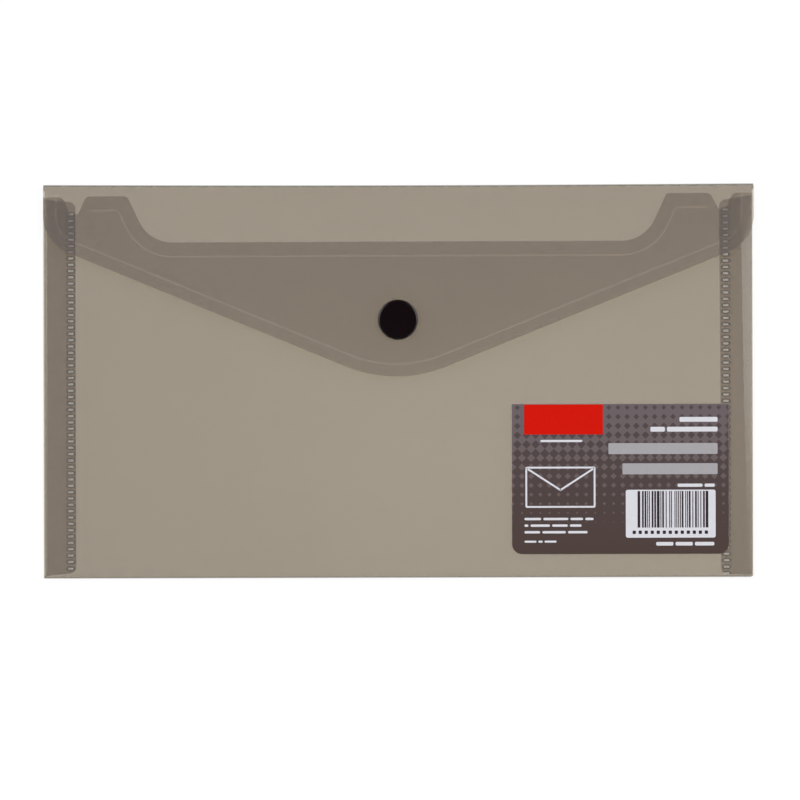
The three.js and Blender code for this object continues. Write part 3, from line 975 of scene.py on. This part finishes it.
snap = {
    "edgeRounding": 0.64,
    "rim": 0.3,  # flat ring inside the rounded edge
    "dishStart": 1.9,
    "dish": 0.1,  # the cap's face is hollow by this much
    "seatGap": 0.05,  # between a cap and its film
    "post": 0.7,
    "head": 1.15,
    "headHeight": 0.25,
    "headInset": 0.45,  # in the socket or stud
    "bore": 0.9,
    "segments": 96,
}


def makeBlackPlastic():
    material, tree = newMaterial("black moulded plastic")
    dark = snapFinish["colour"]
    pale = [channel * snapFinish["palest"] for channel in dark]
    tone = noiseTexture(tree, snapFinish["toneScale"], 3)
    spots = noiseTexture(tree, snapFinish["roughScale"], 2)
    shade = addNode(tree, "BsdfPrincipled", {
        "Base Color": mixedColour(tree, tone, dark, pale),
        "Roughness": mapRange(tree, spots, (0, 1), snapFinish["roughness"]),
        "Normal": grain(tree, *snapFinish["grain"]),
    })
    finishMaterial(tree, shade.outputs[0])
    return material


blackPlastic = makeBlackPlastic()


# A solid turned about the snap's axis from a closed section of (radius, level, rounding)
def turnedPiece(name, section, body, node):
    loop = roundedOutline(section, 9)
    loop[:, 0] = np.maximum(loop[:, 0], 0)
    area = sum(a[0] * b[1] - a[1] * b[0] for a, b in zip(loop, np.roll(loop, -1, axis=0)))
    if area < 0:
        loop = loop[::-1]
    segments = snap["segments"]
    vertices, rings = [], []
    for radius, level in loop:
        if radius < 1e-6:
            rings.append([len(vertices)] * segments)
            vertices.append((snapX, snapY, level))
            continue
        rings.append(list(range(len(vertices), len(vertices) + segments)))
        for k in range(segments):
            angle = 2 * math.pi * k / segments
            vertices.append((snapX + radius * math.cos(angle), snapY + radius * math.sin(angle), level))
    faces = []
    for lower, upper in zip(rings, rings[1:] + rings[:1]):
        for k in range(segments):
            nextK = (k + 1) % segments
            face = []
            for index in (lower[k], lower[nextK], upper[nextK], upper[k]):
                if index not in face:
                    face.append(index)
            if len(face) > 2:
                faces.append(face)
    mesh = bpy.data.meshes.new(name)
    mesh.from_pydata([tuple(c * mm for c in v) for v in vertices], [], faces)
    mesh.materials.append(blackPlastic)
    mesh.polygons.foreach_set("use_smooth", [True] * len(faces))
    mesh.set_sharp_from_angle(angle=math.radians(detail["snapSharp"]))
    mesh.update()
    piece = addObject(name, mesh)
    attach(piece, body)
    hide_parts(node)


def makeCap(name, body, node, seat, top, headFace):
    way = 1 if top > seat else -1
    radius = (capHigh[0] - capLow[0]) / 2
    face = top - way * snap["dish"]
    headEnd = headFace - way * snap["headHeight"]
    edge = snap["edgeRounding"]
    section = [
        (0, headEnd, 0),
        (snap["head"], headEnd, 0.08),
        (snap["head"], headFace, 0.04),
        (snap["post"], headFace, 0),
        (snap["post"], seat, 0),
        (radius, seat, 0.1),
        (radius, top, edge),
        (radius - edge - snap["rim"], top, 0.25),
        (radius - edge - snap["dishStart"], face, 0.8),
        (0, face, 0),
    ]
    turnedPiece(name, section, body, node)


socket = {
    "roof": 0.4,
    "mouth": 3.1,  # its radius is this much smaller than the stud's
    "lip": 0.4,  # height of its narrowest place
    "groove": 0.1,
    "grooveHeight": 0.7,
    "flare": 0.12,
    "ring": 0.9,
    "channelHeight": 1.2,
    "wall": 0.8,
}


def makeSocket():
    low, top = socketLow[2], socketHigh[2]
    radius = (socketHigh[0] - socketLow[0]) / 2
    roof, channel = top - socket["roof"], low + socket["channelHeight"]
    mouth = (studHigh[0] - studLow[0]) / 2 - socket["mouth"]
    inner, ring = mouth + socket["groove"], mouth + socket["ring"]
    wall = radius - socket["wall"]
    section = [
        (snap["bore"], roof, 0),
        (inner, roof, 0.08),
        (inner, low + socket["grooveHeight"], 0.1),
        (mouth, low + socket["lip"], 0.15),
        (mouth + socket["flare"], low, 0.08),
        (ring, low, 0.12),
        (ring, channel, 0.08),
        (wall, channel, 0.08),
        (wall, low, 0.1),
        (radius, low, 0.25),
        (radius, top, 0.25),
        (snap["bore"], top, 0),
    ]
    turnedPiece("snap_socket", section, "flap", "button_socket")


stud = {
    "flange": 0.6,
    "rim": 1.1,
    "rimSlope": 0.15,
    "dip": 0.1,
    "post": 1.95,
    "postFoot": 0.5,
    "neck": 0.15,
    "neckHeight": 0.35,
    "bulgeHeight": 0.8,
    "hollow": 1.35,
    "floor": 0.4,
}


def makeStud():
    low, top = studLow[2], studHigh[2]
    radius = (studHigh[0] - studLow[0]) / 2
    flange, floor = low + stud["flange"], low + stud["floor"]
    dip, rim = flange - stud["dip"], radius - stud["rim"]
    post, neck = stud["post"], stud["post"] - stud["neck"]
    section = [
        (snap["bore"], low, 0),
        (radius, low, 0.2),
        (radius, flange, 0.2),
        (rim, flange, 0.1),
        (rim - stud["rimSlope"], dip, 0.1),
        (post + stud["postFoot"], dip, 0.1),
        (neck, flange, 0.15),
        (neck, flange + stud["neckHeight"], 0.2),
        (post, flange + stud["bulgeHeight"], 0.25),
        (neck, top, 0.2),
        (stud["hollow"], top, 0.1),
        (stud["hollow"], floor, 0.05),
        (snap["bore"], floor, 0),
    ]
    turnedPiece("snap_stud", section, "front", "button_stud")


seatGap, headInset = snap["seatGap"], snap["headInset"]
makeCap("snap_button_cap", "flap", "button_cap", flapHigh[2] + seatGap, capHigh[2], socketHigh[2] - headInset)
makeCap("snap_stud_cap", "front", "stud_cap", frontLow[2] - seatGap, backCapLow[2], studLow[2] + headInset)
makeSocket()
makeStud()
print("snap ready")


# Label

label = {
    "thickness": 0.1,
    "shift": -0.3,  # stuck on this much further from the right side
    "bottomRadius": 3.2,
    "topRadii": (0.3, 1.0),  # left, right
    "topColour": (0.165, 0.134, 0.144),
    "bottomColour": (0.146, 0.105, 0.093),
    "motifPitch": 2.9,
    "motifFade": (0.16, 0.95),  # the diamonds grow between these shares of the label's height
    "motifSize": (0.03, 0.72),  # from the first size to the second
    "motifShade": (0.58, 0.54, 0.54),  # the dark motif, as a share of the ground
    "red": (0.755, 0.007, 0.0005),
    "white": (0.83, 0.83, 0.89),
    "grey": (0.46, 0.44, 0.46),
    "ink": (0.035, 0.022, 0.030),
    "inkThickness": 0.02,
    "inkDrift": 0.9,  # darkest spots of a print, as a share of its colour
    "glossyRoughness": 0.36,
    "printRoughness": 0.4,
    "specular": 0.2,
    "grain": (1800, 4, 0.15, 0.01),  # scale, detail, strength, height
}

# The print. Places, widths and gaps are pixels of the photograph, roundings are millimetres.
labelPrint = {
    "redBlock": (523.8, 404.9, 602.5, 434.8),  # left, top, right, bottom
    # each row of bars: left, right, top, bottom, how its length is shared out, and a gap of its own
    "whiteRows": (
        (679, 717, 417.6, 422.4, (1,)),
        (650, 717, 427.4, 432.2, (2, 7)),
        (540, 582, 440.2, 442.4, (1,)),
        (677, 714, 484.2, 487.4, (5, 2)),
        (524, 593, 518.0, 520.4, (4, 6, 3, 2)),
        (524, 581, 524.6, 527.0, (1, 5, 4, 3)),
        (524, 587, 531.2, 533.6, (4, 6, 5)),
        (524, 556, 540.8, 542.8, (4, 1.5, 4), 1.8),
        (655.5, 713.5, 542.4, 546.0, (4, 4, 4.5)),
    ),
    "greyRows": (
        (608, 717, 443.6, 454.6, (1,)),
        (622, 717, 463.8, 474.8, (1,)),
    ),
    "barGap": 2.2,
    "barRounding": 0.35,
    "picture": (525, 467, 595, 508, 1.8, 0.5),  # drawn envelope: its frame, line width and rounding
    "pictureFolds": ((526.4, 468.6, 560.4, 490.6, 1.8), (559.6, 490.6, 593.6, 468.6, 1.8)),
    "panel": (625.2, 490.2, 714.9, 538.1, 0.6),
    "codeReach": (637.0, 706),  # where the first and the last line may start
    "codeHeight": (491.5, 528),
    "codeWidths": (0.9, 0.9, 1.7, 1.7, 2.6),
    "codeGaps": (0.9, 0.9, 1.8, 2.6),
    "codeSeed": 5,
    "squareReach": (632, 704),
    "squareCount": 13,
    "squareHeight": (531.0, 534.4),
    "squareWidth": 3.2,
    "squareRounding": 0.2,
}
labelTop = labelLow[2] + label["thickness"]


def paperLook(name, colourOf, roughness):
    material, tree = newMaterial(name)
    shade = addNode(tree, "BsdfPrincipled", {
        "Base Color": colourOf(tree),
        "Roughness": roughness,
        "Specular IOR Level": label["specular"],
        "Normal": grain(tree, *label["grain"]),
    })
    finishMaterial(tree, shade.outputs[0])
    return material


# Dark at the foot, paler at the top, with rows of diamonds that shrink downwards
def printedGround(tree):
    split = addNode(tree, "SeparateXYZ", {0: objectPlace(tree)}).outputs
    pitch = label["motifPitch"] * mm
    low, high = labelLow[1] * mm, labelHigh[1] * mm
    climb = mathNode(tree, "SUBTRACT", split["Y"], low)
    rise = mathNode(tree, "DIVIDE", climb, high - low)

    # distance from the middle of a repeat. The whole number only keeps the value above zero.
    def fromCentre(value):
        repeat = mathNode(tree, "ADD", mathNode(tree, "DIVIDE", value, pitch), 100)
        part = mathNode(tree, "FRACT", repeat)
        return mathNode(tree, "ABSOLUTE", mathNode(tree, "SUBTRACT", part, 0.5))

    diamond = mathNode(tree, "ADD", fromCentre(split["X"]), fromCentre(climb))
    size = mapRange(tree, rise, label["motifFade"], label["motifSize"])
    pale = mathNode(tree, "LESS_THAN", diamond, size)
    ground = mixedColour(tree, rise, label["bottomColour"], label["topColour"])
    motif = mixedColour(tree, pale, label["motifShade"], (1, 1, 1))
    return mixedColour(tree, 1, ground, motif, "MULTIPLY")


def plainInk(colour):
    def colourOf(tree):
        darker = [c * label["inkDrift"] for c in colour]
        return mixedColour(tree, noiseTexture(tree, 700, 3), darker, colour)
    return colourOf


groundPaper = paperLook("printed label", printedGround, label["glossyRoughness"])
whiteInk = paperLook("white print", plainInk(label["white"]), label["printRoughness"])
greyInk = paperLook("pale grey print", plainInk(label["grey"]), label["printRoughness"])
redInk = paperLook("red print", plainInk(label["red"]), label["glossyRoughness"])
darkInk = paperLook("dark print", plainInk(label["ink"]), label["printRoughness"])


# Where a pixel of the photographed label lies on the envelope, in millimetres
def labelSpot(px, py):
    x = (px - view["centreX"]) * view["millimetresPerPixel"]
    y = (view["centreY"] - py) * view["millimetresPerPixel"]
    return x, y


# One flat closed piece per ink, made of separate thin shapes
def inkPiece(name, loops, material, level):
    vertices, faces = [], []
    for outline, holes in loops:
        flat, triangles = fillOutline(np.array(outline), [np.array(h) for h in holes])
        first, count = len(vertices), len(flat)
        for z in (level + label["inkThickness"], level):
            vertices += [(x * mm, y * mm, z * mm) for x, y in flat]
        edges = {(a, b) for t in triangles.tolist() for a, b in ((t[0], t[1]), (t[1], t[2]), (t[2], t[0]))}
        faces += [tuple(first + i for i in t) for t in triangles.tolist()]
        faces += [tuple(first + count + i for i in reversed(t)) for t in triangles.tolist()]
        faces += [(first + b, first + a, first + count + a, first + count + b)
                  for a, b in sorted(edges) if (b, a) not in edges]
    mesh = bpy.data.meshes.new(name)
    mesh.from_pydata(vertices, [], faces)
    mesh.materials.append(material)
    piece = addObject(name, mesh)
    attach(piece, "front")


def bar(left, top, right, bottom, rounding=0.0):
    (x0, y1), (x1, y0) = labelSpot(left, top), labelSpot(right, bottom)
    rounding = min(rounding, (x1 - x0) / 2.05, (y1 - y0) / 2.05)
    ends = ((x0, y0), (x1, y0), (x1, y1), (x0, y1))
    return roundedOutline([(x, y, rounding) for x, y in ends], 30), ()


# Bars of uneven length, one after the other
def barRow(left, right, top, bottom, shares, gap=labelPrint["barGap"]):
    width = right - left - gap * (len(shares) - 1)
    at = left
    bars = []
    for share in shares:
        reach = width * share / sum(shares)
        bars.append(bar(at, top, at + reach, bottom, labelPrint["barRounding"]))
        at += reach + gap
    return bars


def hollowBar(left, top, right, bottom, line, rounding):
    outer, _ = bar(left, top, right, bottom, rounding)
    inner, _ = bar(left + line, top + line, right - line, bottom - line, max(rounding - 0.3, 0.1))
    return outer, (inner,)


# A stroke of even width between two spots
def stroke(ax, ay, bx, by, width):
    a, b = np.array(labelSpot(ax, ay)), np.array(labelSpot(bx, by))
    across = unit(np.array((a[1] - b[1], b[0] - a[0]))) * width * view["millimetresPerPixel"] / 2
    return np.array([a - across, b - across, b + across, a + across]), ()


def makeLabel():
    sideways = np.array((label["shift"], 0, 0))
    low, high = labelLow + sideways, labelHigh + sideways
    left, right = label["topRadii"]
    outline = roundedOutline([
        (low[0], low[1], label["bottomRadius"]),
        (high[0], low[1], label["bottomRadius"]),
        (high[0], high[1], right),
        (low[0], high[1], left),
    ], 10)
    flat, triangles = fillOutline(outline)

    def place(u, v):
        return np.stack((u, v, np.full(len(u), labelTop - label["thickness"] / 2)), axis=1)

    def slotOf(centres):
        return np.zeros(len(centres), int)

    piece = filmMesh("label_paper", flat, triangles, place, label["thickness"], slotOf, None, [groundPaper])
    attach(piece, "front")
    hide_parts("label")

    rows = [labelPrint["whiteRows"], labelPrint["greyRows"]]
    white, grey = ([one for row in part for one in barRow(*row)] for part in rows)
    white += [hollowBar(*labelPrint["picture"])] + [stroke(*fold) for fold in labelPrint["pictureFolds"]]
    inkPiece("label_red_block", [bar(*labelPrint["redBlock"])], redInk, labelTop)
    inkPiece("label_white_print", white, whiteInk, labelTop)
    inkPiece("label_grey_print", grey, greyInk, labelTop)
    inkPiece("label_code_panel", [bar(*labelPrint["panel"])], whiteInk, labelTop)

    # a made-up pattern of lines above a row of squares
    dice = random.Random(labelPrint["codeSeed"])
    bars = []
    at, end = labelPrint["codeReach"]
    top, bottom = labelPrint["codeHeight"]
    while at < end:
        width = dice.choice(labelPrint["codeWidths"])
        bars.append(bar(at, top, at + width, bottom))
        at += width + dice.choice(labelPrint["codeGaps"])
    top, bottom = labelPrint["squareHeight"]
    for left in np.linspace(*labelPrint["squareReach"], labelPrint["squareCount"]):
        bars.append(bar(left, top, left + labelPrint["squareWidth"], bottom, labelPrint["squareRounding"]))
    inkPiece("label_code_bars", bars, darkInk, labelTop + label["inkThickness"])
    print("label ready")


makeLabel()
